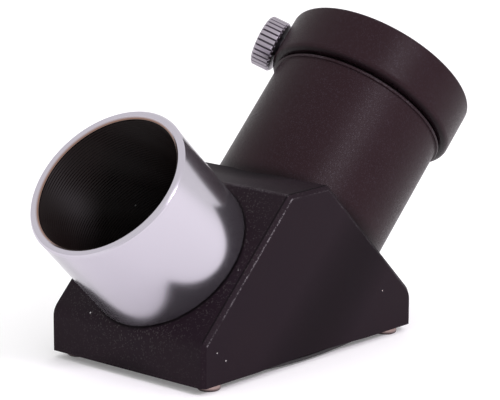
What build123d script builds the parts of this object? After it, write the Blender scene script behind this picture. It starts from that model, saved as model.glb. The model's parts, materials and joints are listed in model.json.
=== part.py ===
"""A 90-degree star diagonal for 1.25-inch eyepieces, as an assembly of separate pieces.

A tube (the nosepiece) slides into a telescope's focuser, a flat mirror under a roof-shaped
housing turns the light by 90 degrees, and a second tube holds the eyepiece, clamped by a
thumbscrew. All sizes are in millimetres. The object stands on the heads of its base screws, with
+Z up, and is symmetric about the XZ plane apart from the thumbscrew. The origin is the centre of
the nosepiece's root, on the slanted face that a focuser comes to rest against.
"""

from build123d import *
from math import sqrt
import os

os.makedirs("parts", exist_ok=True)

# ---- Driving dimensions ------------------------------------------------------------------

# Both tube axes lie in the XZ plane, at 45 degrees, and cross on the mirror. The housing follows
# from the two tubes: its slanted faces, width and roof are as large as the tubes' roots need.

# Housing
spigot_web = 2.45  # wall between the seats of the two tubes
side_wall = 1.7  # beside the wider tube
nose_foot_margin = 0.38  # slanted face left below the nosepiece's root
barrel_foot_margin = 0.71  # and below the barrel's
crown_cut = 0.7  # how far the flat top cuts into the wider tube's outline
end_round_r = 3.6  # between a slanted face and the end face below it
roof_round_r = 1.0  # between the flat top and the slanted faces
side_bevel = 0.75  # round the side walls: upright corners and the roof's edges
rim_wall = 0.8  # wall that stands round the base plate
rim_arch = 0.3  # how far the long walls' rims arch up in the middle

# Nosepiece, the 1.25-inch barrel that goes into the focuser
nose_r = 15.85
nose_length = 22.7  # from the slanted face to the mouth
nose_bevel = 0.35
nose_wall = 1.95
light_step = 0.4  # the light's way through the housing is this much narrower than the nosepiece's bore
filter_wall = 1.6  # outside the M28.5 x 0.6 filter thread's major radius
filter_thread_depth = 4.0
filter_lead_in = 0.38
nose_spigot_step = 0.65  # the threaded spigot in the housing is this much smaller in radius
nose_spigot_length = 6.0

# Eyepiece tube
eyepiece_r = 15.85  # the 1.25-inch eyepiece barrel that it takes
eyepiece_clearance = 0.05
eyepiece_depth = 33.0  # from the mouth to the shoulder that stops the eyepiece
shoulder_height = 7.4  # from the barrel's seat up to that shoulder
barrel_wall = 1.6
barrel_seat = 3.1  # how far the barrel's full diameter sinks into the slanted face
barrel_spigot_step = 1.5  # the threaded spigot in the housing is this much smaller in radius
barrel_spigot_length = 6.0
neck_step = 0.5  # the end that the collar screws onto is this much smaller in radius
bead_step = 0.45  # thin ring just below the collar, this much proud of the barrel
bead_height = 0.6
groove_height = 0.5  # open groove between the bead and the collar

# Collar
collar_wall = 2.15
collar_height = 10.0
collar_lip = 1.2  # inward lip that covers the barrel's end
collar_lip_gap = 0.4  # the lip's bore is this much wider than the barrel's
collar_top_round = 0.6
collar_foot_round = 1.3

# Thumbscrew, M4 x 0.7, through the collar and the barrel's wall
screw_from_mouth = 5.7  # its axis, down from the collar's mouth
screw_turn = 57.0  # degrees round the tube, from the nosepiece's direction towards +Y
stud_r = 1.95
stud_thread_depth = 0.35
stud_pitch = 0.7
stud_clearance = 0.08
stud_tip_back = 0.1  # at rest the tip stands this far back from the eyepiece bore
knob_r = 5.15
knob_length = 3.95
knob_gap = 0.25  # between the knob and the collar at rest
knob_flutes = 30
flute_r = 0.36
knob_chamfer = 0.35
knob_floor = 0.25  # left between the knob's bore and its dish
knob_bore_clearance = 0.05
knob_dish_r = 3.4  # shallow turned recess in the knob's outer face
knob_dish_depth = 0.3

# Mirror and its pads
mirror_end_ledge = 1.9  # how far the mirror reaches past the light's way lengthwise
mirror_side_ledge = 2.0  # and to the sides
mirror_thickness = 1.2
mirror_edge = 0.2
mirror_clearance = 0.2
pad_length = 2.6
pad_width = 8.0
pad_thickness = 0.25
pad_margin = 0.2  # from the mirror's edges

# Base plate and its screws
plate_thickness = 0.6
plate_clearance = 0.1  # between the plate and the rim round it
plate_corner_r = 1.5
plate_bow = 0.85  # how far the middle bows away from the housing
bow_to_pad = 1.79  # flat plate left between the bow and the nearest pads
base_screw_end = 4.45  # screw axes, in from the end faces
base_screw_side = 2.8  # and in from the side walls
base_screw_r = 1.15
base_screw_length = 5.5
base_head_r = 2.15
base_head_height = 1.4
base_head_round = 0.45
pilot_clearance = 0.03
pilot_extra = 0.5
plate_hole_clearance = 0.2
recess_length = 2.3  # cross recess in the head
recess_width = 0.5
recess_depth = 0.6

thread_clearance = 0.05  # radial gap that stands for each assembly thread

# ---- Derived places ----------------------------------------------------------------------

eyepiece_bore_r = eyepiece_r + eyepiece_clearance
barrel_r = eyepiece_bore_r + barrel_wall
barrel_spigot_r = barrel_r - barrel_spigot_step
barrel_neck_r = barrel_r - neck_step
collar_r = barrel_neck_r + thread_clearance + collar_wall
nose_bore_r = nose_r - nose_wall
nose_spigot_r = nose_r - nose_spigot_step
filter_thread_r = nose_r - filter_wall
light_bore_r = nose_bore_r - light_step
wider_r = max(nose_r, barrel_r)

# From the crossing of the axes to each slanted face, along the tube: the nosepiece's seat starts
# beside the barrel's, past the web
face_distance = barrel_spigot_r + thread_clearance + spigot_web + nose_spigot_length
housing_width = 2 * (wider_r + side_wall)
nose_end_reach = (face_distance + nose_r + nose_foot_margin) / sqrt(2)  # from the crossing along X
eyepiece_end_reach = (face_distance + barrel_r + barrel_foot_margin) / sqrt(2)
roof_height = (face_distance + wider_r - crown_cut) / sqrt(2)  # flat top, above the crossing
mirror_length = 2 * (light_bore_r * sqrt(2) + mirror_end_ledge)
mirror_width = 2 * (light_bore_r + mirror_side_ledge)
plate_hole_r = base_screw_r + plate_hole_clearance

nose_dir = Vector(-1, 0, 1) / sqrt(2)  # along the nosepiece, outwards
eyepiece_dir = Vector(1, 0, 1) / sqrt(2)  # along the eyepiece tube, outwards
crossing = nose_dir * -face_distance  # where the two axes meet, on the mirror's front
mirror_z = crossing.Z
plate_top = mirror_z - mirror_thickness - pad_thickness
rim_z = plate_top - plate_thickness  # the plate lies flush with the rim at its ends
middle_x = crossing.X + (eyepiece_end_reach - nose_end_reach) / 2
housing_length = nose_end_reach + eyepiece_end_reach
pad_x = mirror_length / 2 - pad_length / 2 - mirror_edge - pad_margin
pad_y = mirror_width / 2 - pad_width / 2 - mirror_edge - pad_margin
bow_half = pad_x - pad_length / 2 - abs(middle_x - crossing.X) - bow_to_pad
bow_near = middle_x - bow_half
bow_far = middle_x + bow_half

# Sketch planes: across each tube, and lengthwise with local x as radius and local y as distance
nose_across = Plane(crossing, x_dir=(0, 1, 0), z_dir=nose_dir)
eyepiece_across = Plane(crossing, x_dir=(0, 1, 0), z_dir=eyepiece_dir)
nose_along = Plane(crossing, x_dir=(0, 1, 0), z_dir=eyepiece_dir)
eyepiece_along = Plane(crossing, x_dir=(0, 1, 0), z_dir=nose_dir * -1)
nose_axis = Axis(crossing, nose_dir)
eyepiece_axis = Axis(crossing, eyepiece_dir)

barrel_seat_at = face_distance - barrel_seat
bore_floor = barrel_seat_at + shoulder_height
collar_top = bore_floor + eyepiece_depth
barrel_end = collar_top - collar_lip
collar_foot = collar_top - collar_height
bead_top = collar_foot - groove_height

screw_dir = nose_dir.rotate(eyepiece_axis, -screw_turn)
screw_origin = crossing + eyepiece_dir * (collar_top - screw_from_mouth)
screw_axis = Axis(screw_origin, screw_dir)
screw_along = Plane(screw_origin, x_dir=eyepiece_dir, z_dir=eyepiece_dir.cross(screw_dir))
screw_across = Plane(screw_origin, x_dir=eyepiece_dir, z_dir=screw_dir)
stud_root_r = stud_r - stud_thread_depth
stud_hole_r = stud_r + stud_clearance
stud_tip = eyepiece_bore_r + stud_tip_back
knob_foot = collar_r + knob_gap
knob_bore_depth = knob_length - knob_dish_depth - knob_floor - knob_bore_clearance
stud_end = knob_foot + knob_bore_depth

base_screw_places = [
    (middle_x + side * (housing_length / 2 - base_screw_end), hand * (housing_width / 2 - base_screw_side))
    for side in (-1, 1)
    for hand in (-1, 1)
]


def save(piece, name):
    """Label a finished piece and write it as its own STEP file."""
    piece.part.label = name
    export_step(piece.part, f"parts/{name}.step")


# ---- Housing -----------------------------------------------------------------------------

roof = face_distance * sqrt(2)  # where the slanted faces would meet, above the crossing
with BuildPart() as light_way:
    # The light's way: a bore along each tube, kept only above the mirror
    with BuildSketch(nose_across):
        Circle(light_bore_r)
    extrude(amount=face_distance)
    with BuildSketch(eyepiece_across):
        Circle(light_bore_r)
    extrude(amount=face_distance)
    split(bisect_by=Plane.XY.offset(mirror_z), keep=Keep.TOP)

with BuildPart() as housing:
    with BuildSketch(Plane.XZ) as side_view:
        with BuildLine():
            Polyline(
                (crossing.X - nose_end_reach, rim_z),
                (crossing.X + eyepiece_end_reach, rim_z),
                (crossing.X + eyepiece_end_reach, mirror_z + roof - eyepiece_end_reach),
                (crossing.X + roof - roof_height, mirror_z + roof_height),
                (crossing.X - roof + roof_height, mirror_z + roof_height),
                (crossing.X - nose_end_reach, mirror_z + roof - nose_end_reach),
                close=True,
            )
        make_face()
        ends = side_view.vertices().group_by(Axis.Y)[1] + side_view.vertices().group_by(Axis.Y)[2]
        fillet(ends, radius=end_round_r)
        fillet(side_view.vertices().group_by(Axis.Y)[-1], radius=roof_round_r)
    extrude(amount=housing_width / 2, both=True)
    side_walls = housing.faces().filter_by(Axis.Y)
    chamfer(side_walls.edges().group_by(Axis.Z)[1:], length=side_bevel)
    add(light_way.part, mode=Mode.SUBTRACT)
    # Seats for the two tubes
    with BuildSketch(nose_across.offset(face_distance - nose_spigot_length)):
        Circle(nose_spigot_r + thread_clearance)
    extrude(amount=nose_spigot_length + end_round_r, mode=Mode.SUBTRACT)
    with BuildSketch(eyepiece_across.offset(barrel_seat_at - barrel_spigot_length)):
        Circle(barrel_spigot_r + thread_clearance)
    extrude(amount=barrel_spigot_length, mode=Mode.SUBTRACT)
    with BuildSketch(eyepiece_across.offset(barrel_seat_at)):
        Circle(barrel_r + thread_clearance)
    extrude(amount=roof, mode=Mode.SUBTRACT)
    # Recess for the base plate, and the arch in the rims beside it
    with BuildSketch(Plane.XY.offset(rim_z)):
        with Locations((middle_x, 0)):
            RectangleRounded(
                housing_length - 2 * rim_wall,
                housing_width - 2 * rim_wall,
                plate_corner_r + plate_clearance,
            )
    extrude(amount=plate_thickness, mode=Mode.SUBTRACT)
    with BuildSketch(Plane.XZ):
        with BuildLine():
            ThreePointArc((bow_near, rim_z), (middle_x, rim_z + rim_arch), (bow_far, rim_z))
            Line((bow_far, rim_z), (bow_near, rim_z))
        make_face()
    extrude(amount=housing_width / 2, both=True, mode=Mode.SUBTRACT)
    # Pocket that the mirror drops into from below, up to the ledge round the light's way
    with BuildSketch(Plane.XY.offset(plate_top)):
        with Locations((crossing.X, 0)):
            Rectangle(mirror_length + 2 * mirror_clearance, mirror_width + 2 * mirror_clearance)
    extrude(amount=mirror_z - plate_top, mode=Mode.SUBTRACT)
    with BuildSketch(Plane.XY.offset(plate_top)):
        with Locations(*base_screw_places):
            Circle(base_screw_r + pilot_clearance)
    extrude(amount=base_screw_length - plate_thickness + pilot_extra, mode=Mode.SUBTRACT)
save(housing, "housing")

# ---- Nosepiece ---------------------------------------------------------------------------

nose_mouth = face_distance + nose_length
with BuildPart() as nosepiece:
    with BuildSketch(nose_along):
        with BuildLine():
            Polyline(
                (nose_bore_r, face_distance - nose_spigot_length),
                (nose_spigot_r, face_distance - nose_spigot_length),
                (nose_spigot_r, face_distance),
                (nose_r, face_distance),
                (nose_r, nose_mouth - nose_bevel),
                (nose_r - nose_bevel, nose_mouth),
                (filter_thread_r + filter_lead_in, nose_mouth),
                (filter_thread_r, nose_mouth - filter_lead_in),
                (filter_thread_r, nose_mouth - filter_lead_in - filter_thread_depth),
                (nose_bore_r, nose_mouth - filter_lead_in - filter_thread_depth),
                close=True,
            )
        make_face()
    revolve(axis=nose_axis)
save(nosepiece, "nosepiece")

# ---- Eyepiece barrel and collar ----------------------------------------------------------

with BuildPart() as stud_hole:
    with BuildSketch(screw_across):
        Circle(stud_hole_r)
    extrude(amount=collar_r + knob_gap)

with BuildPart() as eyepiece_barrel:
    with BuildSketch(eyepiece_along):
        with BuildLine():
            Polyline(
                (light_bore_r, barrel_seat_at - barrel_spigot_length),
                (barrel_spigot_r, barrel_seat_at - barrel_spigot_length),
                (barrel_spigot_r, barrel_seat_at),
                (barrel_r, barrel_seat_at),
                (barrel_r, bead_top - bead_height),
                (barrel_r + bead_step, bead_top - bead_height),
                (barrel_r + bead_step, bead_top),
                (barrel_neck_r, bead_top),
                (barrel_neck_r, barrel_end),
                (eyepiece_bore_r, barrel_end),
                (eyepiece_bore_r, bore_floor),
                (light_bore_r, bore_floor),
                close=True,
            )
        make_face()
    revolve(axis=eyepiece_axis)
    add(stud_hole.part, mode=Mode.SUBTRACT)
save(eyepiece_barrel, "eyepiece_barrel")

with BuildPart() as eyepiece_collar:
    with BuildSketch(eyepiece_along) as collar_profile:
        with BuildLine():
            Polyline(
                (barrel_neck_r + thread_clearance, collar_foot),
                (collar_r, collar_foot),
                (collar_r, collar_top),
                (eyepiece_bore_r + collar_lip_gap, collar_top),
                (eyepiece_bore_r + collar_lip_gap, barrel_end),
                (barrel_neck_r + thread_clearance, barrel_end),
                close=True,
            )
        make_face()
        outer_corners = collar_profile.vertices().group_by(Axis.X)[-1].sort_by(Axis.Y)
        fillet(outer_corners[0], radius=collar_foot_round)
        fillet(outer_corners[-1], radius=collar_top_round)
        lip_corners = collar_profile.vertices().group_by(Axis.Y)[-1].sort_by(Axis.X)
        fillet(lip_corners[0], radius=collar_lip_gap)
    revolve(axis=eyepiece_axis)
    add(stud_hole.part, mode=Mode.SUBTRACT)
save(eyepiece_collar, "eyepiece_collar")

# ---- Thumbscrew --------------------------------------------------------------------------

thread_turns = int((stud_end - stud_tip - stud_pitch) / stud_pitch)
thread_points = [(0, stud_tip), (stud_root_r, stud_tip), (stud_r, stud_tip + stud_pitch / 2)]
for turn in range(thread_turns):
    groove = stud_tip + stud_pitch * (turn + 1)
    thread_points += [
        (stud_r, groove - stud_pitch / 8),
        (stud_root_r, groove + stud_pitch / 4),
        (stud_r, groove + stud_pitch / 2 + stud_pitch / 8),
    ]
thread_points += [(stud_r, stud_end), (0, stud_end)]

with BuildPart() as thumbscrew_stud:
    with BuildSketch(screw_along):
        with BuildLine():
            Polyline(*thread_points, close=True)
        make_face()
    revolve(axis=screw_axis)
save(thumbscrew_stud, "thumbscrew_stud")

with BuildPart() as thumbscrew_knob:
    with BuildSketch(screw_across.offset(knob_foot)):
        Circle(knob_r)
    extrude(amount=knob_length)
    chamfer(thumbscrew_knob.edges().filter_by(GeomType.CIRCLE), length=knob_chamfer)
    with BuildSketch(screw_across.offset(knob_foot)):
        with PolarLocations(knob_r, knob_flutes):
            Circle(flute_r)
    extrude(amount=knob_length, mode=Mode.SUBTRACT)
    with BuildSketch(screw_across.offset(knob_foot)):
        Circle(stud_r + knob_bore_clearance)
    extrude(amount=knob_bore_depth + knob_bore_clearance, mode=Mode.SUBTRACT)
    with BuildSketch(screw_across.offset(knob_foot + knob_length)):
        Circle(knob_dish_r)
    extrude(amount=-knob_dish_depth, mode=Mode.SUBTRACT)
save(thumbscrew_knob, "thumbscrew_knob")

# ---- Mirror and pads ---------------------------------------------------------------------

with BuildPart() as mirror:
    with BuildSketch(Plane.XY.offset(mirror_z)):
        with Locations((crossing.X, 0)):
            Rectangle(mirror_length, mirror_width)
    extrude(amount=-mirror_thickness)
    chamfer(mirror.faces().sort_by(Axis.Z)[0].edges(), length=mirror_edge)
save(mirror, "mirror")

for number, (side, hand) in enumerate([(-1, -1), (-1, 1), (1, -1), (1, 1)], start=1):
    with BuildPart() as mirror_pad:
        with BuildSketch(Plane.XY.offset(plate_top)):
            with Locations((crossing.X + side * pad_x, hand * pad_y)):
                Rectangle(pad_length, pad_width)
        extrude(amount=pad_thickness)
    save(mirror_pad, f"mirror_pad_{number}")

# ---- Base plate and screws ---------------------------------------------------------------

near = middle_x - housing_length / 2 + rim_wall + plate_clearance
far = middle_x + housing_length / 2 - rim_wall - plate_clearance
with BuildPart() as base_plate:
    with BuildSketch(Plane.XZ):
        with BuildLine():
            Line((near, plate_top), (bow_near, plate_top))
            ThreePointArc((bow_near, plate_top), (middle_x, plate_top - plate_bow), (bow_far, plate_top))
            Polyline((bow_far, plate_top), (far, plate_top), (far, rim_z), (bow_far, rim_z))
            ThreePointArc((bow_far, rim_z), (middle_x, rim_z - plate_bow), (bow_near, rim_z))
            Polyline((bow_near, rim_z), (near, rim_z), (near, plate_top))
        make_face()
    extrude(amount=housing_width / 2 - rim_wall - plate_clearance, both=True)
    fillet(base_plate.edges().filter_by(Axis.Z), radius=plate_corner_r)
    with BuildSketch(Plane.XY.offset(plate_top)):
        with Locations(*base_screw_places):
            Circle(plate_hole_r)
    extrude(amount=-plate_thickness, mode=Mode.SUBTRACT)
save(base_plate, "base_plate")

for number, place in enumerate(base_screw_places, start=1):
    with BuildPart() as base_screw:
        with BuildSketch(Plane.XY.offset(rim_z)):
            with Locations(place):
                Circle(base_head_r)
        extrude(amount=-base_head_height)
        fillet(base_screw.edges().sort_by(Axis.Z)[0], radius=base_head_round)
        with BuildSketch(Plane.XY.offset(rim_z)):
            with Locations(place):
                Circle(base_screw_r)
        extrude(amount=base_screw_length)
        with BuildSketch(Plane.XY.offset(rim_z - base_head_height)):
            with Locations(place):
                Rectangle(recess_length, recess_width)
                Rectangle(recess_width, recess_length)
        extrude(amount=recess_depth, mode=Mode.SUBTRACT)
    save(base_screw, f"base_screw_{number}")
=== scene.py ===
import json
from math import cos, radians, sin
import bpy
import numpy as np
from mathutils import Matrix, Vector


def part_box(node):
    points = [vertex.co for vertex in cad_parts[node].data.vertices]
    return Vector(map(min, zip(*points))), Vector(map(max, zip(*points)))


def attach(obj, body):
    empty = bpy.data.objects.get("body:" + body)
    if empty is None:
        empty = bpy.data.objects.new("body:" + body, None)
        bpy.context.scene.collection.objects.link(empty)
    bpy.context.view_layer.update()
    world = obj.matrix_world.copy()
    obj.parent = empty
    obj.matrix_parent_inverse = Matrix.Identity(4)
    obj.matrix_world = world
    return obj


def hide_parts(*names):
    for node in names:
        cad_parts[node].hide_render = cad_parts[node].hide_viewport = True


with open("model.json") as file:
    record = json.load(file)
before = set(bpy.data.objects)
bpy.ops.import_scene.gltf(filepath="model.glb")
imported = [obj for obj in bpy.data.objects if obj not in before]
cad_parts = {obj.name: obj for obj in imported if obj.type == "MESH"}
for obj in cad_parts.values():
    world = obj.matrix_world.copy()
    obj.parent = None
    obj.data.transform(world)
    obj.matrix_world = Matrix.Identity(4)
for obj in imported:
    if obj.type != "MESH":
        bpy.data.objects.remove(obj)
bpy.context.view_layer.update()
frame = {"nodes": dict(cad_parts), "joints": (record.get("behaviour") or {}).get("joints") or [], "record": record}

# Shapes are worked out in millimetres along each tube's own axis, and go into the meshes in metres
mm = 0.001
mounts = {m["name"]: m for m in frame["record"]["mounts"]}
joints = {j["name"]: j for j in frame["joints"]}
noseAxis = np.array(mounts["nosepiece"]["axis"]) / np.linalg.norm(mounts["nosepiece"]["axis"])
eyeAxis = np.array(mounts["eyepiece_bore"]["axis"]) / np.linalg.norm(mounts["eyepiece_bore"]["axis"])
sideways = np.cross(noseAxis, eyeAxis)
noseRoot = np.array(mounts["nosepiece"]["pos_m"]) / mm
# The two axes cross on the mirror: the crossing is the nosepiece axis point level with the eyepiece tube
eyePoint = np.array(mounts["eyepiece_bore"]["pos_m"]) / mm
crossing = noseRoot + noseAxis * ((eyePoint - noseRoot) @ noseAxis)
# Both slanted faces of the housing lie this far from the crossing
faceDistance = float(np.linalg.norm(crossing - noseRoot))
screwAxis = np.array(joints["thumbscrew_turn"]["axis"]) / np.linalg.norm(joints["thumbscrew_turn"]["axis"])
screwRoot = np.array(joints["thumbscrew_turn"]["pos_m"]) / mm
footHeight = float(mounts["foot_1"]["pos_m"][2]) / mm


def axialSpan(node, root, axis):
    # Lowest and highest distance of a CAD node along an axis, in millimetres
    mesh = frame["nodes"][node].data
    co = np.empty(len(mesh.vertices) * 3)
    mesh.vertices.foreach_get("co", co)
    along = (co.reshape(-1, 3) / mm - root) @ axis
    return along.min(), along.max()


# ---- mesh helpers

def roundedProfile(corners, steps=6, loop=True):
    # corners are (radius, along, rounding). Each rounding is an arc tangent to both sides of its
    # corner: it starts tan(turn / 2) times its radius before the corner and ends as far after it
    points = np.array([c[:2] for c in corners], float)
    rounds = np.array([c[2] if len(c) > 2 else 0.0 for c in corners], float)
    pieces = []
    for i, (here, r) in enumerate(zip(points, rounds)):
        if r <= 0 or (not loop and i in (0, len(points) - 1)):
            pieces.append(here[None, :])
            continue
        back = points[i - 1] - here
        ahead = points[(i + 1) % len(points)] - here
        back = back / np.linalg.norm(back)
        ahead = ahead / np.linalg.norm(ahead)
        half = np.arccos(np.clip(back @ ahead, -1, 1)) / 2
        bisector = (back + ahead) / np.linalg.norm(back + ahead)
        centre = here + bisector * r / np.sin(half)
        start = here + back * r / np.tan(half) - centre
        end = here + ahead * r / np.tan(half) - centre
        turn = np.arccos(np.clip(start @ end / r**2, -1, 1))
        t = np.linspace(0, 1, steps + 1)[:, None]
        pieces.append(centre + (np.sin((1 - t) * turn) * start + np.sin(t * turn) * end) / np.sin(turn))
    return np.concatenate(pieces)


def turnedGrid(root, axis, radius, along, around, start=None):
    # A surface of revolution: point = root + along * axis + radius * (u cos a + v sin a), where a
    # goes once round and u, v are square to the axis. radius and along may change with a as well
    u = np.cross(axis, start if start is not None else sideways)
    u = u / np.linalg.norm(u)
    v = np.cross(axis, u)
    a = np.linspace(0, 2 * np.pi, around, endpoint=False)
    ring = np.cos(a)[:, None] * u + np.sin(a)[:, None] * v
    radius = np.broadcast_to(radius, (len(along), around))
    height = np.broadcast_to(np.reshape(along, (len(along), -1)), (len(along), around))
    return root + height[..., None] * axis + radius[..., None] * ring[None]


def makePiece(name, grid, body, node, loop=True, attributes=None, sharpAngle=32):
    # Quads between neighbouring rings; a loop joins its last ring to its first, an open profile
    # is closed by a flat cap on each end ring. The winding is turned so that the volume is positive
    rings, around = grid.shape[:2]
    index = np.arange(rings * around).reshape(rings, around)
    nextRing = np.roll(index, -1, axis=0) if loop else index[1:]
    ring = index if loop else index[:-1]
    quads = np.stack([ring, np.roll(ring, -1, axis=1), np.roll(nextRing, -1, axis=1), nextRing], axis=-1)
    quads = quads.reshape(-1, 4)
    co = grid.reshape(-1, 3) * mm
    middle = co.mean(axis=0)
    a, b, c, d = (co[quads[:, k]] - middle for k in range(4))
    volume = (np.einsum("ij,ij->i", a, np.cross(b, c)) + np.einsum("ij,ij->i", a, np.cross(c, d))).sum()
    faces = quads.tolist()
    if not loop:
        faces += [index[0][::-1].tolist(), index[-1].tolist()]
    if volume < 0:
        faces = [face[::-1] for face in faces]
    mesh = bpy.data.meshes.new(name)
    mesh.from_pydata(co.tolist(), [], faces)
    mesh.polygons.foreach_set("use_smooth", [True] * len(faces))
    mesh.set_sharp_from_angle(angle=radians(sharpAngle))
    for key, values in (attributes or {}).items():
        layer = mesh.attributes.new(key, "FLOAT", "POINT")
        layer.data.foreach_set("value", np.broadcast_to(values, (rings, around)).ravel().astype(np.float32))
    mesh.update()
    piece = bpy.data.objects.new(name, mesh)
    bpy.context.scene.collection.objects.link(piece)
    if body:
        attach(piece, body)
        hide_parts(node)
    return piece


def cutHole(piece, cutter):
    # Takes the cutter's volume out of the piece, and leaves a plain mesh
    modifier = piece.modifiers.new("hole", "BOOLEAN")
    modifier.object = cutter
    modifier.solver = "EXACT"
    bpy.context.view_layer.update()
    cut = bpy.data.meshes.new_from_object(piece.evaluated_get(bpy.context.evaluated_depsgraph_get()))
    piece.modifiers.clear()
    old = piece.data
    piece.data = cut
    bpy.data.meshes.remove(old)
    cut.name = piece.name


slotOf = {s["node"]: s["material_slot"] for s in frame["record"]["subparts"]}


# ---- nosepiece: chromed tube, with a fine baffle thread all down its bore

noseSettings = {
    "spigotRadius": 15.2, "bevel": 0.35, "rimRadius": 14.63,
    "rootGroove": 0.35, "rootGrooveHeight": 0.3, "boreRadius": 14.1, "threadDepth": 0.26,
    "threadPitch": 0.6, "stepsPerTurn": 8, "around": 224, "leadIn": 0.38, "plainLip": 0.5,
}


def makeNosepiece():
    s = noseSettings
    outerRadius = mounts["nosepiece"]["dims"]["r_mm"]
    low, mouth = axialSpan("nosepiece", noseRoot, noseAxis)
    outside = roundedProfile([
        (s["spigotRadius"], low), (s["spigotRadius"], 0), (outerRadius - s["rootGroove"], 0),
        (outerRadius - s["rootGroove"], s["rootGrooveHeight"]), (outerRadius, s["rootGrooveHeight"], 0.08),
        (outerRadius, mouth - s["bevel"], 0.15), (outerRadius - s["bevel"], mouth, 0.12),
        (s["rimRadius"], mouth, 0.05), (s["boreRadius"] + s["threadDepth"] / 2, mouth - s["leadIn"]),
    ], loop=False)
    # Bore thread: radius = bore + half the depth * a triangular wave of (distance / pitch - turn)
    top = mouth - s["leadIn"]
    turns = (top - low) / s["threadPitch"]
    along = np.linspace(top, low, int(turns * s["stepsPerTurn"]))[1:]
    a = np.linspace(0, 2 * np.pi, s["around"], endpoint=False)
    phase = along[:, None] / s["threadPitch"] - a[None, :] / (2 * np.pi)
    wave = np.abs(2 * (phase % 1) - 1) * 2 - 1
    fade = np.clip((top - along) / s["plainLip"], 0, 1) * np.clip((along - low) / s["plainLip"], 0, 1)
    bore = s["boreRadius"] + s["threadDepth"] / 2 * wave * fade[:, None]
    radius = np.concatenate([np.repeat(outside[:, :1], s["around"], axis=1), bore])
    heights = np.concatenate([outside[:, 1], along])
    grid = turnedGrid(noseRoot, noseAxis, radius, heights, s["around"])
    # 1 down the bore, which is painted black, and in the root groove, painted black as shade; and 1 where the
    # brass shows on the edge of the bore
    inGroove = (outside[:, 1] < s["rootGrooveHeight"] + 0.01) & (outside[:, 0] < outerRadius - 0.1)
    blackPaintAndShade = np.concatenate([inGroove, np.ones(len(along))]).astype(float)
    bareEdge = np.zeros(len(heights))
    bareEdge[len(outside) - 1] = 1
    return makePiece("nosepieceTube", grid, "root", "nosepiece",
                     attributes={"blackPaintAndShade": blackPaintAndShade[:, None], "bareEdge": bareEdge[:, None]})


nosepieceTube = makeNosepiece()
print("nosepiece made:", len(nosepieceTube.data.polygons), "faces")


# ---- thumbscrew: threaded stud and fluted knob

screwSettings = {
    "studRadius": 1.95, "studRoot": 1.6, "pitch": 0.7, "ridgeHeight": 1.25, "flankSlope": 1.6,
    "tipChamfer": 0.4, "stepsPerTurn": 12, "fluteCurve": 0.8,
    "holeRadius": 2.03, "knobRadius": 5.15, "flutes": 30, "fluteDepth": 0.36, "landShare": 0.66,
    "chamfer": 0.35, "dishRadius": 3.4, "dishDepth": 0.28, "boreRadius": 2.0, "boreChamfer": 0.15,
    # radius and share of the depth, towards the middle of the dish
    "dishSlope": 0.2, "dishMiddle": ((0.4, 0.9), (0.02, 0.85)),
    "boreEnd": 0.55, "studSides": 64, "sidesPerFlute": 20,
}


def makeStud():
    s = screwSettings
    low, high = axialSpan("thumbscrew_stud", screwRoot, screwAxis)
    along = np.linspace(low, high, int((high - low) / s["pitch"] * s["stepsPerTurn"]))
    a = np.linspace(0, 2 * np.pi, s["studSides"], endpoint=False)
    # Thread: a triangular ridge that climbs one pitch each turn, with its crest cut flat
    phase = (along[:, None] / s["pitch"] - a[None, :] / (2 * np.pi)) % 1
    ridge = np.clip(s["ridgeHeight"] - np.abs(2 * phase - 1) * s["flankSlope"], 0, 1)
    radius = s["studRoot"] + (s["studRadius"] - s["studRoot"]) * ridge
    # The tip is cut to a cone, which the ridge runs out on
    cone = s["studRoot"] - s["tipChamfer"] + (along - low)
    radius = np.minimum(radius, cone[:, None])
    grid = turnedGrid(screwRoot, screwAxis, radius, along, s["studSides"], start=eyeAxis)
    return makePiece("studThreaded", grid, "thumbscrew_stud", "thumbscrew_stud", loop=False, sharpAngle=50)


def makeKnob():
    s = screwSettings
    low, high = axialSpan("thumbscrew_knob", screwRoot, screwAxis)
    r = s["knobRadius"]
    profile = roundedProfile([
        (s["boreRadius"], high - s["boreEnd"]), (s["boreRadius"], low + s["boreChamfer"]),
        (s["boreRadius"] + s["boreChamfer"], low),
        (r - s["chamfer"], low, 0.06), (r, low + s["chamfer"], 0.1),
        (r, high - s["chamfer"], 0.12), (r - s["chamfer"], high, 0.1),
        (s["dishRadius"], high, 0.06), (s["dishRadius"] - s["dishSlope"], high - s["dishDepth"], 0.1),
        *((radius, high - s["dishDepth"] * share) for radius, share in s["dishMiddle"]),
    ], steps=3, loop=False)
    around = s["flutes"] * s["sidesPerFlute"]
    a = np.linspace(0, 2 * np.pi, around, endpoint=False)
    # Flutes: flat lands, and between them round-bottomed grooves along the axis
    share = (a * s["flutes"] / (2 * np.pi)) % 1
    groove = np.clip((share - s["landShare"]) / (1 - s["landShare"]), 0, 1)
    fluted = r - s["fluteDepth"] * np.sin(np.pi * groove) ** s["fluteCurve"]
    radius = np.minimum(profile[:, :1], fluted[None, :])
    grid = turnedGrid(screwRoot, screwAxis, radius, profile[:, 1], around, start=eyeAxis)
    depth = np.clip((r - fluted) / s["fluteDepth"], 0, 1)[None, :] * (profile[:, :1] > r - s["fluteDepth"])
    return makePiece("knobFluted", grid, "thumbscrew_knob", "thumbscrew_knob", loop=False,
                     attributes={"groove": depth}, sharpAngle=38)


studThreaded = makeStud()
knobFluted = makeKnob()
print("thumbscrew made")


# ---- eyepiece tube: barrel and collar, drilled for the thumbscrew

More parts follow.
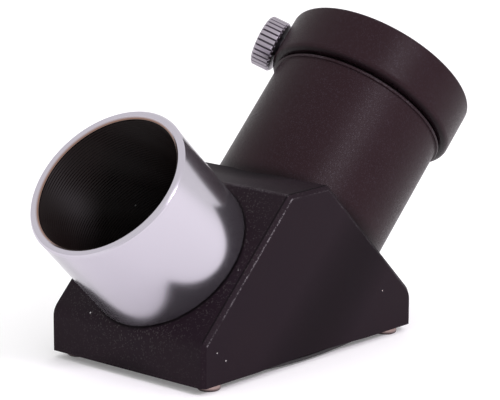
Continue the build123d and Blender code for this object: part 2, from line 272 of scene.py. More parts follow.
barrelSettings = {
    "radius": 17.5, "spigotRadius": 16.0, "seat": 21.4, "beadRadius": 17.95, "beadLow": 50.7,
    "beadHigh": 51.3, "neckRadius": 17.0, "lightRadius": 13.5, "shoulder": 28.8,
    "baffleDepth": 0.3, "bafflePitch": 0.7, "baffleMargin": 0.4, "baffleFade": 0.5, "stepsPerTurn": 8,
    "wallRings": (6, 16), "boreRings": (2, 9, 20), "shoulderChamfer": 0.2, "around": 192,
}
collarSettings = {
    "radius": 19.2, "footInset": 1.6, "wallInset": 2.6, "footRound": 1.3, "topRound": 0.6,
    "lipRadius": 16.3, "lipRound": 0.35, "innerRadius": 17.05, "lip": 1.2, "around": 256,
}


def makeHoleCutter():
    s = screwSettings
    along = np.array([barrelSettings["lightRadius"] - 1.5, collarSettings["radius"] + 2])
    radius = np.full((2, 1), s["holeRadius"])
    grid = turnedGrid(screwRoot, screwAxis, radius, along, s["studSides"], start=eyeAxis)
    return makePiece("holeCutter", grid, None, None, loop=False)


def makeBarrel(cutter):
    s = barrelSettings
    low, high = axialSpan("eyepiece_barrel", crossing, eyeAxis)
    bore = mounts["eyepiece_bore"]["dims"]["r_mm"]
    # Baffle rings in the light's way: a triangular ridge that climbs one pitch each turn
    steps = int((s["shoulder"] - low) / s["bafflePitch"] * s["stepsPerTurn"])
    top, foot = s["shoulder"] - s["baffleMargin"], low + s["baffleMargin"]
    along = np.linspace(top, foot, steps)
    a = np.linspace(0, 2 * np.pi, s["around"], endpoint=False)
    phase = (along[:, None] / s["bafflePitch"] - a[None, :] / (2 * np.pi)) % 1
    fade = np.clip(np.minimum(along - foot, top - along) / s["baffleFade"], 0, 1)
    baffles = s["lightRadius"] + s["baffleDepth"] * (1 - np.abs(2 * phase - 1)) * fade[:, None]
    outside = roundedProfile([
        (s["lightRadius"], low), (s["spigotRadius"], low), (s["spigotRadius"], s["seat"]),
        (s["radius"], s["seat"]), *((s["radius"], s["seat"] + up) for up in s["wallRings"]),
        (s["radius"], s["beadLow"], 0.12), (s["beadRadius"], s["beadLow"], 0.2),
        (s["beadRadius"], s["beadHigh"], 0.2), (s["neckRadius"], s["beadHigh"]), (s["neckRadius"], high),
        (bore, high), *((bore, high - down) for down in s["boreRings"]), (bore, s["shoulder"]),
        (s["lightRadius"] + s["shoulderChamfer"], s["shoulder"]),
        (s["lightRadius"], s["shoulder"] - s["shoulderChamfer"]),
    ], steps=4, loop=False)
    radius = np.concatenate([np.repeat(outside[:, :1], s["around"], axis=1), baffles])
    heights = np.concatenate([outside[:, 1], along])
    grid = turnedGrid(crossing, eyeAxis, radius, heights, s["around"])
    piece = makePiece("barrelTube", grid, "root", "eyepiece_barrel")
    cutHole(piece, cutter)
    return piece


def makeCollar(cutter):
    s = collarSettings
    low, high = axialSpan("eyepiece_collar", crossing, eyeAxis)
    profile = roundedProfile([
        (s["innerRadius"], low), (s["radius"] - s["footInset"], low), (s["radius"], low, s["footRound"]),
        (s["radius"], low + s["wallInset"]), (s["radius"], high - s["wallInset"]),
        (s["radius"], high, s["topRound"]), (s["lipRadius"], high, s["lipRound"]),
        (s["lipRadius"], high - s["lip"]), (s["innerRadius"], high - s["lip"]),
    ], steps=8)
    grid = turnedGrid(crossing, eyeAxis, profile[:, :1], profile[:, 1], s["around"])
    piece = makePiece("collarRing", grid, "root", "eyepiece_collar")
    cutHole(piece, cutter)
    return piece


holeCutter = makeHoleCutter()
barrelTube = makeBarrel(holeCutter)
collarRing = makeCollar(holeCutter)
bpy.data.objects.remove(holeCutter)
print("eyepiece tube made:", len(barrelTube.data.polygons), "and", len(collarRing.data.polygons), "faces")


# ---- shader helpers

def addNode(tree, kind, label=None, **values):
    # A node with its properties set; values that name an input go to that input instead
    node = tree.nodes.new(kind)
    if label:
        node.label = label
    for key, value in values.items():
        if hasattr(node, key):
            setattr(node, key, value)
        else:
            node.inputs[key.replace("_", " ")].default_value = value
    return node


def mathNode(tree, operation, first, second=None, clamp=False):
    node = tree.nodes.new("ShaderNodeMath")
    node.operation = operation
    node.use_clamp = clamp
    for slot, value in enumerate((first, second)):
        if value is None:
            continue
        if isinstance(value, (int, float)):
            node.inputs[slot].default_value = value
        else:
            tree.links.new(value, node.inputs[slot])
    return node.outputs[0]


def mixColour(tree, mask, first, second):
    # Colour from first to second as the mask goes from 0 to 1
    node = tree.nodes.new("ShaderNodeMix")
    node.data_type = "RGBA"
    for socket, value in ((node.inputs[0], mask), (node.inputs[6], first), (node.inputs[7], second)):
        if isinstance(value, (tuple, float, int)):
            socket.default_value = value
        else:
            tree.links.new(value, socket)
    return node.outputs[2]


def rampBetween(tree, value, low, high):
    # 0 below low, 1 above high, straight between
    node = tree.nodes.new("ShaderNodeMapRange")
    tree.links.new(value, node.inputs["Value"])
    node.inputs["From Min"].default_value = low
    node.inputs["From Max"].default_value = high
    return node.outputs["Result"]


def newGroup(name, inputs, outputs):
    tree = bpy.data.node_groups.new(name, "ShaderNodeTree")
    for label, kind, value in inputs:
        socket = tree.interface.new_socket(label, in_out="INPUT", socket_type=kind)
        if value is not None:
            socket.default_value = value
    for label, kind in outputs:
        tree.interface.new_socket(label, in_out="OUTPUT", socket_type=kind)
    return tree, tree.nodes.new("NodeGroupInput"), tree.nodes.new("NodeGroupOutput")


def placeGroup(tree, group, vector=None, **values):
    node = tree.nodes.new("ShaderNodeGroup")
    node.node_tree = group
    if vector is not None:
        tree.links.new(vector, node.inputs["Vector"])
    for key, value in values.items():
        socket = node.inputs[key]
        if isinstance(value, (int, float)):
            socket.default_value = value
        else:
            tree.links.new(value, socket)
    return node


# Noise and cell scales are per metre
grainPattern = {
    "cloudScale": 90.0, "cloudReach": (0.35, 0.7), "dimpleScale": 1.3, "dimpleDepth": 0.6, "facetShare": 0.2,
}
wearPattern = {
    "steepness": 2.5, "dashScale": 300.0, "dashes": (0.32, 0.6), "speckScale": 4200.0, "specks": (0.42, 0.62),
}
largestSpeck = 0.09


def makeGrainGroup():
    # Fine grain of a moulded or blasted surface: a bump height and a scatter of bright facets
    tree, start, end = newGroup("grain", [
        ("Vector", "NodeSocketVector", None), ("Size", "NodeSocketFloat", 0.25),
        ("Facets", "NodeSocketFloat", 0.5),
    ], [("Height", "NodeSocketFloat"), ("Facet", "NodeSocketFloat"), ("Cloud", "NodeSocketFloat")])
    perMetre = mathNode(tree, "DIVIDE", 1000.0, start.outputs["Size"])
    coarse = addNode(tree, "ShaderNodeTexNoise", Detail=3.0, Roughness=0.6)
    fine = addNode(tree, "ShaderNodeTexVoronoi", feature="F1")
    cloud = addNode(tree, "ShaderNodeTexNoise", Scale=grainPattern["cloudScale"], Detail=4.0)
    for node in (coarse, fine, cloud):
        tree.links.new(start.outputs["Vector"], node.inputs["Vector"])
    tree.links.new(perMetre, coarse.inputs["Scale"])
    dimpleScale = mathNode(tree, "MULTIPLY", perMetre, grainPattern["dimpleScale"])
    tree.links.new(dimpleScale, fine.inputs["Scale"])
    split = addNode(tree, "ShaderNodeSeparateColor")
    tree.links.new(fine.outputs["Color"], split.inputs[0])
    share = mathNode(tree, "MULTIPLY", start.outputs["Facets"], grainPattern["facetShare"])
    threshold = mathNode(tree, "SUBTRACT", 1.0, share)
    facet = mathNode(tree, "GREATER_THAN", split.outputs[0], threshold)
    dimples = mathNode(tree, "MULTIPLY", fine.outputs["Distance"], grainPattern["dimpleDepth"])
    tree.links.new(mathNode(tree, "ADD", coarse.outputs[0], dimples), end.inputs["Height"])
    tree.links.new(facet, end.inputs["Facet"])
    tree.links.new(cloud.outputs[0], end.inputs["Cloud"])
    return tree


def makeWearGroup():
    # Wear along an edge: Distance is how far the point is from the edge, in millimetres
    tree, start, end = newGroup("edgeWear", [
        ("Vector", "NodeSocketVector", None), ("Distance", "NodeSocketFloat", 1.0),
        ("Width", "NodeSocketFloat", 0.4), ("Amount", "NodeSocketFloat", 0.5),
    ], [("Mask", "NodeSocketFloat")])
    share = mathNode(tree, "DIVIDE", start.outputs["Distance"], start.outputs["Width"])
    near = mathNode(tree, "SUBTRACT", 1.0, share)
    near = mathNode(tree, "MULTIPLY", near, wearPattern["steepness"], clamp=True)
    dashes = addNode(tree, "ShaderNodeTexNoise", Scale=wearPattern["dashScale"], Detail=2.0)
    specks = addNode(tree, "ShaderNodeTexNoise", Scale=wearPattern["speckScale"], Detail=2.0)
    for node in (dashes, specks):
        tree.links.new(start.outputs["Vector"], node.inputs["Vector"])
    broken = mathNode(tree, "MULTIPLY", rampBetween(tree, dashes.outputs[0], *wearPattern["dashes"]),
                      rampBetween(tree, specks.outputs[0], *wearPattern["specks"]))
    mask = mathNode(tree, "MULTIPLY", near, broken)
    mask = mathNode(tree, "MULTIPLY", mask, start.outputs["Amount"], clamp=True)
    tree.links.new(mask, end.inputs["Mask"])
    return tree


def makeDustGroup():
    # Sparse specks: dust and lint, or pits
    tree, start, end = newGroup("dust", [
        ("Vector", "NodeSocketVector", None), ("Spacing", "NodeSocketFloat", 2.0),
        ("Amount", "NodeSocketFloat", 0.5),
    ], [("Mask", "NodeSocketFloat")])
    cells = addNode(tree, "ShaderNodeTexVoronoi", feature="F1")
    tree.links.new(start.outputs["Vector"], cells.inputs["Vector"])
    tree.links.new(mathNode(tree, "DIVIDE", 1000.0, start.outputs["Spacing"]), cells.inputs["Scale"])
    split = addNode(tree, "ShaderNodeSeparateColor")
    tree.links.new(cells.outputs["Color"], split.inputs[0])
    threshold = mathNode(tree, "SUBTRACT", 1.0, start.outputs["Amount"])
    chosen = mathNode(tree, "GREATER_THAN", split.outputs[0], threshold)
    size = mathNode(tree, "MULTIPLY", split.outputs[1], largestSpeck)
    dot = mathNode(tree, "LESS_THAN", cells.outputs["Distance"], size)
    tree.links.new(mathNode(tree, "MULTIPLY", chosen, dot), end.inputs["Mask"])
    return tree


def makeTubeGroup():
    # Where a point lies in a tube: its radius and its distance along the axis, both in millimetres
    tree, start, end = newGroup("tubePlace", [
        ("Vector", "NodeSocketVector", None), ("Root", "NodeSocketVector", None),
        ("Axis", "NodeSocketVector", None),
    ], [("Radius", "NodeSocketFloat"), ("Along", "NodeSocketFloat")])
    offset = addNode(tree, "ShaderNodeVectorMath", operation="SUBTRACT")
    along = addNode(tree, "ShaderNodeVectorMath", operation="DOT_PRODUCT")
    cross = addNode(tree, "ShaderNodeVectorMath", operation="CROSS_PRODUCT")
    length = addNode(tree, "ShaderNodeVectorMath", operation="LENGTH")
    tree.links.new(start.outputs["Vector"], offset.inputs[0])
    tree.links.new(start.outputs["Root"], offset.inputs[1])
    for node in (along, cross):
        tree.links.new(offset.outputs[0], node.inputs[0])
        tree.links.new(start.outputs["Axis"], node.inputs[1])
    tree.links.new(cross.outputs[0], length.inputs[0])
    tree.links.new(mathNode(tree, "MULTIPLY", length.outputs["Value"], 1000.0), end.inputs["Radius"])
    tree.links.new(mathNode(tree, "MULTIPLY", along.outputs["Value"], 1000.0), end.inputs["Along"])
    return tree


grainGroup = makeGrainGroup()
wearGroup = makeWearGroup()
dustGroup = makeDustGroup()
tubeGroup = makeTubeGroup()


def newMaterial(name):
    material = bpy.data.materials.new(name)
    material.use_nodes = True
    tree = material.node_tree
    tree.nodes.clear()
    output = tree.nodes.new("ShaderNodeOutputMaterial")
    shader = tree.nodes.new("ShaderNodeBsdfPrincipled")
    tree.links.new(shader.outputs[0], output.inputs[0])
    where = tree.nodes.new("ShaderNodeTexCoord").outputs["Object"]
    return material, tree, shader, where


def addBump(tree, shader, height, depth):
    # depth is the relief's height in millimetres
    bump = addNode(tree, "ShaderNodeBump", Strength=1.0, Distance=depth * mm)
    tree.links.new(height, bump.inputs["Height"])
    tree.links.new(bump.outputs[0], shader.inputs["Normal"])


def tubePlace(tree, where, root, axis):
    node = placeGroup(tree, tubeGroup, where)
    node.inputs["Root"].default_value = tuple(root * mm)
    node.inputs["Axis"].default_value = tuple(axis)
    return node.outputs["Radius"], node.outputs["Along"]


def heightOf(tree, where):
    # Height in the frame, in millimetres
    xyz = addNode(tree, "ShaderNodeSeparateXYZ")
    tree.links.new(where, xyz.inputs[0])
    return mathNode(tree, "MULTIPLY", xyz.outputs[2], 1000.0)


def clouded(tree, grain, s):
    # A finish's colour, which drifts towards its cloud colour
    cloud = rampBetween(tree, grain.outputs["Cloud"], *grainPattern["cloudReach"])
    return mixColour(tree, cloud, s["colour"], s["cloudColour"])


def cloudyRoughness(tree, grain, s):
    # A finish's roughness, which varies about its middle value
    rough = mathNode(tree, "MULTIPLY", grain.outputs["Cloud"], s["cloudRoughness"])
    return mathNode(tree, "ADD", s["roughness"] - s["cloudRoughness"] / 2, rough)


def dusted(tree, where, s, colour):
    dust = placeGroup(tree, dustGroup, where, Spacing=s["dustSpacing"], Amount=s["dustAmount"])
    dusty = mathNode(tree, "MULTIPLY", dust.outputs["Mask"], s["dustShade"])
    return mixColour(tree, dusty, colour, s["dustColour"])


# ---- materials

housingFinish = {
    "colour": (0.0086, 0.0037, 0.0072, 1), "cloudColour": (0.0106, 0.005, 0.0082, 1),
    "wornColour": (0.22, 0.2, 0.215, 1), "facetColour": (0.04, 0.034, 0.035, 1),
    "dustColour": (0.6, 0.58, 0.58, 1), "paintedShade": (0.002, 0.0015, 0.002, 1), "roughness": 0.56, "ior": 1.18,
    "grainSize": 0.26, "grainDepth": 0.02, "bevel": 0.75, "wearWidth": 0.22, "handledWear": 0.62,
    "edgeWear": 0.14, "crownLine": (0.12, 0.12), "crownWidth": 0.34, "crownWearAndHighlight": 0.2,
    "dustSpacing": 2.6, "dustAmount": 0.16, "wallFacets": 0.04, "slantFacets": 0.22, "rootFacets": 0.6,
    "facets": 0.5, "cloudRoughness": 0.12, "shadeRoughness": 0.3, "wallRelief": 0.3,
    # in millimetres: where each shade is nothing and where it is full
    "creaseShadeReach": (0.3, 0.12), "noseSeam": (16.3, 15.9), "eyeSeam": (21.5, 17.6), "rootReach": (22.0, 16.5),
    "grainReach": (0.1, 0.3), "seamShade": 0.75, "dustShade": 0.8,
}


def nearLine(tree, first, second, offsets):
    # Distance to the line where two distances reach their offsets, in millimetres
    parts = [
        mathNode(tree, "ABSOLUTE", mathNode(tree, "SUBTRACT", value, offset))
        for value, offset in zip((first, second), offsets)
    ]
    return mathNode(tree, "ADD", *parts)


def makeHousingMaterial():
    s = housingFinish
    material, tree, shader, where = newMaterial("mouldedBlack")
    high = np.array(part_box("housing")[1]) / mm
    grain = placeGroup(tree, grainGroup, where, Size=s["grainSize"], Facets=s["facets"])
    # How far the point lies inside the nearer side wall, the slanted faces and the flat top
    xyz = addNode(tree, "ShaderNodeSeparateXYZ")
    tree.links.new(where, xyz.inputs[0])
    across = mathNode(tree, "MULTIPLY", mathNode(tree, "ABSOLUTE", xyz.outputs[1]), 1000.0)
    toWall = mathNode(tree, "SUBTRACT", float(high[1]), across)
    noseRadius, noseSide = tubePlace(tree, where, crossing, noseAxis)
    eyeRadius, eyeSide = tubePlace(tree, where, crossing, eyeAxis)
    toNoseSlant = mathNode(tree, "SUBTRACT", faceDistance, noseSide)
    toSlant = mathNode(tree, "SUBTRACT", faceDistance, mathNode(tree, "MAXIMUM", noseSide, eyeSide))
    toTop = mathNode(tree, "SUBTRACT", float(high[2]), heightOf(tree, where))
    toRoof = mathNode(tree, "MINIMUM", toSlant, toTop)
    # Rubbed edges: each bevel's line on the wall, most of all beside the nosepiece, and the roof's front edge,
    # whose light line is wear and partly a painted highlight. Painted shade lies along each bevel's other line, in
    # its crease
    wearAndHighlightLines = [
        (nearLine(tree, toWall, toNoseSlant, (0.0, s["bevel"])), s["wearWidth"], s["handledWear"]),
        (nearLine(tree, toWall, toRoof, (0.0, s["bevel"])), s["wearWidth"], s["edgeWear"]),
        # the roof's front edge: wear, and partly a painted highlight along the edge
        (nearLine(tree, toTop, toNoseSlant, s["crownLine"]), s["crownWidth"], s["crownWearAndHighlight"]),
    ]
    # Painted shade along each bevel's other line, where the bevel meets the slanted face or the roof
    bevelCreaseShade = rampBetween(tree, nearLine(tree, toWall, toRoof, (s["bevel"], 0.0)), *s["creaseShadeReach"])
    # Painted shade round the roots of the nosepiece and the eyepiece tube, where they meet the housing
    noseSeam = rampBetween(tree, noseRadius, *s["noseSeam"])
    eyeSeam = rampBetween(tree, eyeRadius, *s["eyeSeam"])
    seam = mathNode(tree, "MAXIMUM", noseSeam, eyeSeam)
    dark = mathNode(tree, "MULTIPLY", mathNode(tree, "MAXIMUM", bevelCreaseShade, seam), s["seamShade"])
    # The side walls are smoother than the slanted faces, the roof and the ends
    grained = rampBetween(tree, toWall, *s["grainReach"])
    nearRoot = mathNode(tree, "MULTIPLY", rampBetween(tree, noseRadius, *s["rootReach"]), s["rootFacets"])
    slantFacets = mathNode(tree, "MULTIPLY", grained, mathNode(tree, "ADD", s["slantFacets"], nearRoot))
    facets = mathNode(tree, "ADD", s["wallFacets"], slantFacets)
    facet = mathNode(tree, "MULTIPLY", grain.outputs["Facet"], facets)
    colour = mixColour(tree, facet, clouded(tree, grain, s), s["facetColour"])
    colour = mixColour(tree, dark, colour, s["paintedShade"])
    for line, width, amount in wearAndHighlightLines:
        wear = placeGroup(tree, wearGroup, where, Distance=line, Width=width, Amount=amount)
        colour = mixColour(tree, wear.outputs["Mask"], colour, s["wornColour"])
    tree.links.new(dusted(tree, where, s, colour), shader.inputs["Base Color"])
    # Rougher where the shade is painted
    roughenedInShade = mathNode(tree, "MULTIPLY", dark, s["shadeRoughness"])
    rough = mathNode(tree, "ADD", cloudyRoughness(tree, grain, s), roughenedInShade)
    tree.links.new(rough, shader.inputs["Roughness"])
    shader.inputs["IOR"].default_value = s["ior"]
    relief = mathNode(tree, "MULTIPLY", grained, 1 - s["wallRelief"])
    relief = mathNode(tree, "ADD", s["wallRelief"], relief)
    addBump(tree, shader, mathNode(tree, "MULTIPLY", grain.outputs["Height"], relief), s["grainDepth"])
    return material


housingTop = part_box("housing")[1].z / mm
collarTop = axialSpan("eyepiece_collar", crossing, eyeAxis)[1]
tubeFinish = {
    "colour": (0.0168, 0.0078, 0.0100, 1), "cloudColour": (0.0188, 0.0090, 0.0116, 1),
    "facetColour": (0.06, 0.05, 0.065, 1), "shadeAndPitColour": (0.004, 0.0022, 0.003, 1),
    "wornColour": (0.1, 0.09, 0.1, 1), "dustColour": (0.5, 0.48, 0.48, 1), "roughness": 0.36, "ior": 1.155,
    "grainSize": 0.18, "grainDepth": 0.025, "facets": 0.6, "facetAmount": 0.2, "dustSpacing": 3.0,
    "dustAmount": 0.06, "pitSpacing": 3.6, "pitAmount": 0.12, "grooveMiddle": 0.4,
    "cloudRoughness": 0.1, "facetGloss": 0.12,
    # in millimetres from the housing's face, its roof or the groove: where the painted shade is nothing and full
    "slantReach": (1.3, 0.1), "roofReach": (2.4, 0.1), "roofEnd": (3, 0.5), "grooveReach": (0.75, 0.35),
    "seamShade": 0.7, "dustShade": 0.5,
    # each line's radius and distance along the tube, its width, and how worn it is
    "wear": [
        ((barrelSettings["beadRadius"], barrelSettings["beadLow"] + 0.3), 0.5, 0.3),
        ((collarSettings["radius"] - 0.2, collarTop - 0.2), 0.4, 0.3),
    ],
}


def makeTubeMaterial():
    s = tubeFinish
    material, tree, shader, where = newMaterial("blastedBlack")
    grain = placeGroup(tree, grainGroup, where, Size=s["grainSize"], Facets=s["facets"])
    facet = mathNode(tree, "MULTIPLY", grain.outputs["Facet"], s["facetAmount"])
    colour = mixColour(tree, facet, clouded(tree, grain, s), s["facetColour"])
    # Painted shade in the seams at the housing and its roof, and in the groove below the collar; the finish worn
    # thin on the bead and on the collar's outer edge
    radius, along = tubePlace(tree, where, crossing, eyeAxis)
    slantSeam = rampBetween(tree, along, *(faceDistance + reach for reach in s["slantReach"]))
    aboveRoof = mathNode(tree, "SUBTRACT", heightOf(tree, where), housingTop)
    roofSeam = mathNode(tree, "MULTIPLY", rampBetween(tree, aboveRoof, *s["roofReach"]),
                        rampBetween(tree, along, *(faceDistance + reach for reach in s["roofEnd"])))
    fromGroove = mathNode(tree, "SUBTRACT", along, barrelSettings["beadHigh"] + s["grooveMiddle"])
    belowCollar = mathNode(tree, "ABSOLUTE", fromGroove)
    seam = mathNode(tree, "MAXIMUM", slantSeam, roofSeam)
    seam = mathNode(tree, "MAXIMUM", seam, rampBetween(tree, belowCollar, *s["grooveReach"]))
    # Painted shade: darker in the seams and in the groove
    colour = mixColour(tree, mathNode(tree, "MULTIPLY", seam, s["seamShade"]), colour, s["shadeAndPitColour"])
    for line, width, amount in s["wear"]:
        distance = nearLine(tree, radius, along, line)
        wear = placeGroup(tree, wearGroup, where, Distance=distance, Width=width, Amount=amount)
        colour = mixColour(tree, wear.outputs["Mask"], colour, s["wornColour"])
    pits = placeGroup(tree, dustGroup, where, Spacing=s["pitSpacing"], Amount=s["pitAmount"])
    colour = mixColour(tree, pits.outputs["Mask"], dusted(tree, where, s, colour), s["shadeAndPitColour"])
    tree.links.new(colour, shader.inputs["Base Color"])
    gloss = mathNode(tree, "MULTIPLY", grain.outputs["Facet"], s["facetGloss"])
    rough = mathNode(tree, "SUBTRACT", cloudyRoughness(tree, grain, s), gloss)
    tree.links.new(rough, shader.inputs["Roughness"])
    shader.inputs["IOR"].default_value = s["ior"]
    addBump(tree, shader, grain.outputs["Height"], s["grainDepth"])
    return material


chromeFinish = {
    "colour": (0.505, 0.48, 0.535, 1), "blackPaintAndShade": (0.0052, 0.0022, 0.002, 1),
    "brass": (0.2, 0.09, 0.04, 1), "dustColour": (0.5, 0.5, 0.5, 1), "dustSpacing": 2.0,
    "dustAmount": 0.15, "dustShade": 0.4, "roughness": 0.17, "insideRoughness": 0.45,
    "cloudRoughness": 0.04, "haze": 0.04, "specular": 0.12, "grainSize": 0.3, "facets": 0.1,
    "insideEdge": (0.45, 0.55),
}


def makeChromeMaterial():
    s = chromeFinish
    material, tree, shader, where = newMaterial("satinChrome")
    inside = addNode(tree, "ShaderNodeAttribute", attribute_name="blackPaintAndShade").outputs["Fac"]
    bare = addNode(tree, "ShaderNodeAttribute", attribute_name="bareEdge").outputs["Fac"]
    inside = rampBetween(tree, inside, *s["insideEdge"])
    grain = placeGroup(tree, grainGroup, where, Size=s["grainSize"], Facets=s["facets"])
    colour = mixColour(tree, bare, s["colour"], s["brass"])
    # Black paint down the bore; in the root groove the same black is painted shade
    colour = mixColour(tree, inside, colour, s["blackPaintAndShade"])
    tree.links.new(dusted(tree, where, s, colour), shader.inputs["Base Color"])
    # A thin haze over the chrome: part of its light is scattered
    outside = mathNode(tree, "SUBTRACT", 1.0, inside)
    tree.links.new(mathNode(tree, "MULTIPLY", outside, 1 - s["haze"]), shader.inputs["Metallic"])
    rough = mathNode(tree, "MULTIPLY", inside, s["insideRoughness"] - s["roughness"])
    rough = mathNode(tree, "ADD", s["roughness"], rough)
    cloudy = mathNode(tree, "MULTIPLY", grain.outputs["Cloud"], s["cloudRoughness"])
    rough = mathNode(tree, "ADD", rough, cloudy)
    tree.links.new(rough, shader.inputs["Roughness"])
    shader.inputs["Specular IOR Level"].default_value = s["specular"]
    return material


platedFinish = {
    "grainSize": 0.15, "grainDepth": 0.004, "facets": 0.3, "grooveShade": 0.65, "stains": (0.55, 0.8),
    "cloudRoughness": 0.1,
}
platings = {
    # name: (colour, dark colour for stains and painted shade, roughness, heights). In millimetres above the feet,
    # the painted shade rises from nothing at the feet to full at the first height, stays full to the second and is
    # gone at the third
    "brightPlating": ((0.35, 0.317, 0.36, 1), (0.06, 0.05, 0.07, 1), 0.3, None),
    "nickelPlating": ((0.37, 0.27, 0.25, 1), (0.05, 0.04, 0.045, 1), 0.3, (0.08, 0.2, 0.75)),
}


def makePlatedMaterial(name):
    # Bright plating with stains; darker in the flute grooves and just above the feet, both painted shade
    s = platedFinish
    colour, dark, roughness, shadeHeights = platings[name]
    material, tree, shader, where = newMaterial(name)
    groove = addNode(tree, "ShaderNodeAttribute", attribute_name="groove").outputs["Fac"]
    grain = placeGroup(tree, grainGroup, where, Size=s["grainSize"], Facets=s["facets"])
    # Darker in the flute grooves: painted shade
    mixed = mixColour(tree, mathNode(tree, "MULTIPLY", groove, s["grooveShade"]), colour, dark)
    mixed = mixColour(tree, rampBetween(tree, grain.outputs["Cloud"], *s["stains"]), mixed, dark)
    # Painted shade low on the screw heads, just above the floor
    if shadeHeights:
        shadeRise, full, none = (footHeight + level for level in shadeHeights)
        height = heightOf(tree, where)
        paintedShade = mathNode(tree, "MULTIPLY", rampBetween(tree, height, none, full),
                         rampBetween(tree, height, footHeight, shadeRise))
        mixed = mixColour(tree, paintedShade, mixed, dark)
    tree.links.new(mixed, shader.inputs["Base Color"])
    shader.inputs["Metallic"].default_value = 1.0
    cloudy = mathNode(tree, "MULTIPLY", grain.outputs["Cloud"], s["cloudRoughness"])
    tree.links.new(mathNode(tree, "ADD", roughness, cloudy), shader.inputs["Roughness"])
    addBump(tree, shader, grain.outputs["Height"], s["grainDepth"])
    return material


plateFinish = {
    "colour": (0.016, 0.014, 0.016, 1), "cloudColour": (0.022, 0.02, 0.021, 1),
    "dustColour": (0.4, 0.39, 0.38, 1), "dustSpacing": 2.6, "dustAmount": 0.1, "dustShade": 0.5,
    "roughness": 0.42, "specular": 0.35, "grainSize": 0.4, "grainDepth": 0.012, "facets": 0.3,
}


def makePlateMaterial():
    s = plateFinish
    material, tree, shader, where = newMaterial("paintedSheet")
    grain = placeGroup(tree, grainGroup, where, Size=s["grainSize"], Facets=s["facets"])
    colour = dusted(tree, where, s, clouded(tree, grain, s))
    tree.links.new(colour, shader.inputs["Base Color"])
    shader.inputs["Roughness"].default_value = s["roughness"]
    shader.inputs["Specular IOR Level"].default_value = s["specular"]
    addBump(tree, shader, grain.outputs["Height"], s["grainDepth"])
    return material


mirrorFinish = {"colour": (0.86, 0.87, 0.88, 1), "hazeScale": 140.0, "hazeRoughness": 0.04}


def makeMirrorMaterial():
    s = mirrorFinish
    material, tree, shader, where = newMaterial("mirrorFace")
    haze = addNode(tree, "ShaderNodeTexNoise", Scale=s["hazeScale"], Detail=3.0)
    tree.links.new(where, haze.inputs["Vector"])
    shader.inputs["Base Color"].default_value = s["colour"]
    shader.inputs["Metallic"].default_value = 1.0
    rough = mathNode(tree, "MULTIPLY", haze.outputs[0], s["hazeRoughness"])
    tree.links.new(rough, shader.inputs["Roughness"])
    return material


foamFinish = {
    "cellColour": (0.01, 0.01, 0.01, 1), "wallColour": (0.035, 0.034, 0.034, 1), "cellScale": 2500.0,
    "roughness": 0.9, "cellDepth": 0.08,
}


def makeFoamMaterial():
    s = foamFinish
    material, tree, shader, where = newMaterial("blackFoam")
    cells = addNode(tree, "ShaderNodeTexVoronoi", Scale=s["cellScale"])
    tree.links.new(where, cells.inputs["Vector"])
    colour = mixColour(tree, cells.outputs["Distance"], s["cellColour"], s["wallColour"])
    tree.links.new(colour, shader.inputs["Base Color"])
    shader.inputs["Roughness"].default_value = s["roughness"]
    addBump(tree, shader, cells.outputs["Distance"], s["cellDepth"])
    return material


materialOf = {
    "housing_plastic": makeHousingMaterial(),
    "tube_black": makeTubeMaterial(),
    "nosepiece_chrome": makeChromeMaterial(),
    "thumbscrew_plating": makePlatedMaterial("brightPlating"),
    "base_screw_nickel": makePlatedMaterial("nickelPlating"),
    "plate_black": makePlateMaterial(),
    "mirror_glass": makeMirrorMaterial(),
    "pad_foam": makeFoamMaterial(),
}
pieceSlots = {
    nosepieceTube: "nosepiece_chrome", barrelTube: "tube_black", collarRing: "tube_black",
    studThreaded: "thumbscrew_plating", knobFluted: "thumbscrew_plating",
}
for piece, slot in pieceSlots.items():
    piece.data.materials.clear()
    piece.data.materials.append(materialOf[slot])
for name, node in frame["nodes"].items():
    node.material_slots[0].material = materialOf[slotOf[name]]
print("materials made")


# ---- floor, light and camera

stageSettings = {
    "floorSize": 6.0, "floorColour": (0.93, 0.93, 0.93, 1), "floorRoughness": 0.7, "floorGlow": 0.14,
    "worldColour": (1.0, 0.99, 1.0, 1), "worldStrength": 1.04,
}
lightSettings = {
    # name: (azimuth, elevation, distance, size, watts, colour). Azimuth 0 is towards -Y, 90 towards +X
    "keySoftbox": (-6, 38, 1.0, 0.24, 5.2, (0.97, 0.88, 1.0)),
    "backSoftbox": (150, 50, 1.1, 0.9, 0.12, (1.0, 0.97, 0.98)),
}
cameraSettings = {
    # The camera's azimuth 0 is towards -Y, 90 towards -X
    "azimuth": 48.45, "elevation": 13.06, "roll": 0.145, "distance": 506.0, "aimRight": 3.355,
    "aimUp": 23.82, "lens": 193.2,
}


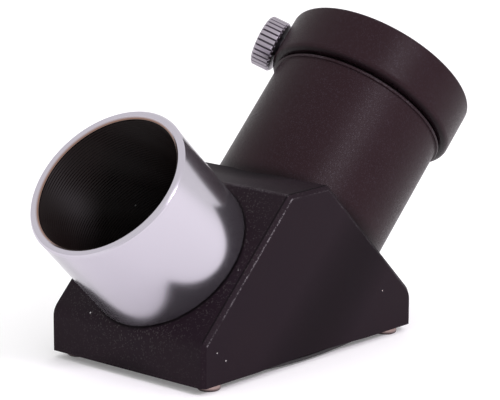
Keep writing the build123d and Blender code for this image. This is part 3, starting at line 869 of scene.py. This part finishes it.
def makeFloor():
    lowest = min(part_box(f"base_screw_{n}")[0].z for n in range(1, 5))
    half = stageSettings["floorSize"] / 2
    mesh = bpy.data.meshes.new("floor")
    corners = [(-half, -half, lowest), (half, -half, lowest), (half, half, lowest), (-half, half, lowest)]
    mesh.from_pydata(corners, [], [(0, 1, 2, 3)])
    floor = bpy.data.objects.new("floor", mesh)
    bpy.context.scene.collection.objects.link(floor)
    material, tree, shader, where = newMaterial("paleFloor")
    shader.inputs["Base Color"].default_value = stageSettings["floorColour"]
    shader.inputs["Roughness"].default_value = stageSettings["floorRoughness"]
    shader.inputs["Emission Color"].default_value = stageSettings["worldColour"]
    shader.inputs["Emission Strength"].default_value = stageSettings["floorGlow"]
    mesh.materials.append(material)


def makeWorld():
    world = bpy.data.worlds.new("studio")
    bpy.context.scene.world = world
    world.use_nodes = True
    background = world.node_tree.nodes["Background"]
    background.inputs["Color"].default_value = stageSettings["worldColour"]
    background.inputs["Strength"].default_value = stageSettings["worldStrength"]


def makeLights():
    middle = Vector(crossing * mm)
    for name, (azimuth, elevation, distance, size, watts, colour) in lightSettings.items():
        data = bpy.data.lights.new(name, "AREA")
        data.shape = "SQUARE"
        data.size = size
        data.energy = watts
        data.color = colour
        lamp = bpy.data.objects.new(name, data)
        a, e = radians(azimuth), radians(elevation)
        lamp.location = middle + Vector((sin(a) * cos(e), -cos(a) * cos(e), sin(e))) * distance
        lamp.rotation_euler = (lamp.location - middle).to_track_quat("Z", "Y").to_euler()
        bpy.context.scene.collection.objects.link(lamp)


def makeCamera():
    s = cameraSettings
    a, e = radians(s["azimuth"]), radians(s["elevation"])
    back = Vector((-sin(a) * cos(e), -cos(a) * cos(e), sin(e)))
    right = Vector((cos(a), -sin(a), 0))
    up = back.cross(right)
    aim = Vector(crossing) + right * s["aimRight"] + up * s["aimUp"]
    data = bpy.data.cameras.new("camera")
    data.lens = s["lens"]
    data.sensor_width = 36.0
    camera = bpy.data.objects.new("camera", data)
    axes = Matrix((right, up, back)).transposed()
    camera.rotation_euler = (axes @ Matrix.Rotation(radians(s["roll"]), 3, "Z")).to_euler()
    camera.location = (aim + back * s["distance"]) * mm
    bpy.context.scene.collection.objects.link(camera)
    bpy.context.scene.camera = camera


makeFloor()
makeWorld()
makeLights()
makeCamera()
bpy.context.scene.view_settings.view_transform = "Standard"
print("floor, light and camera made")
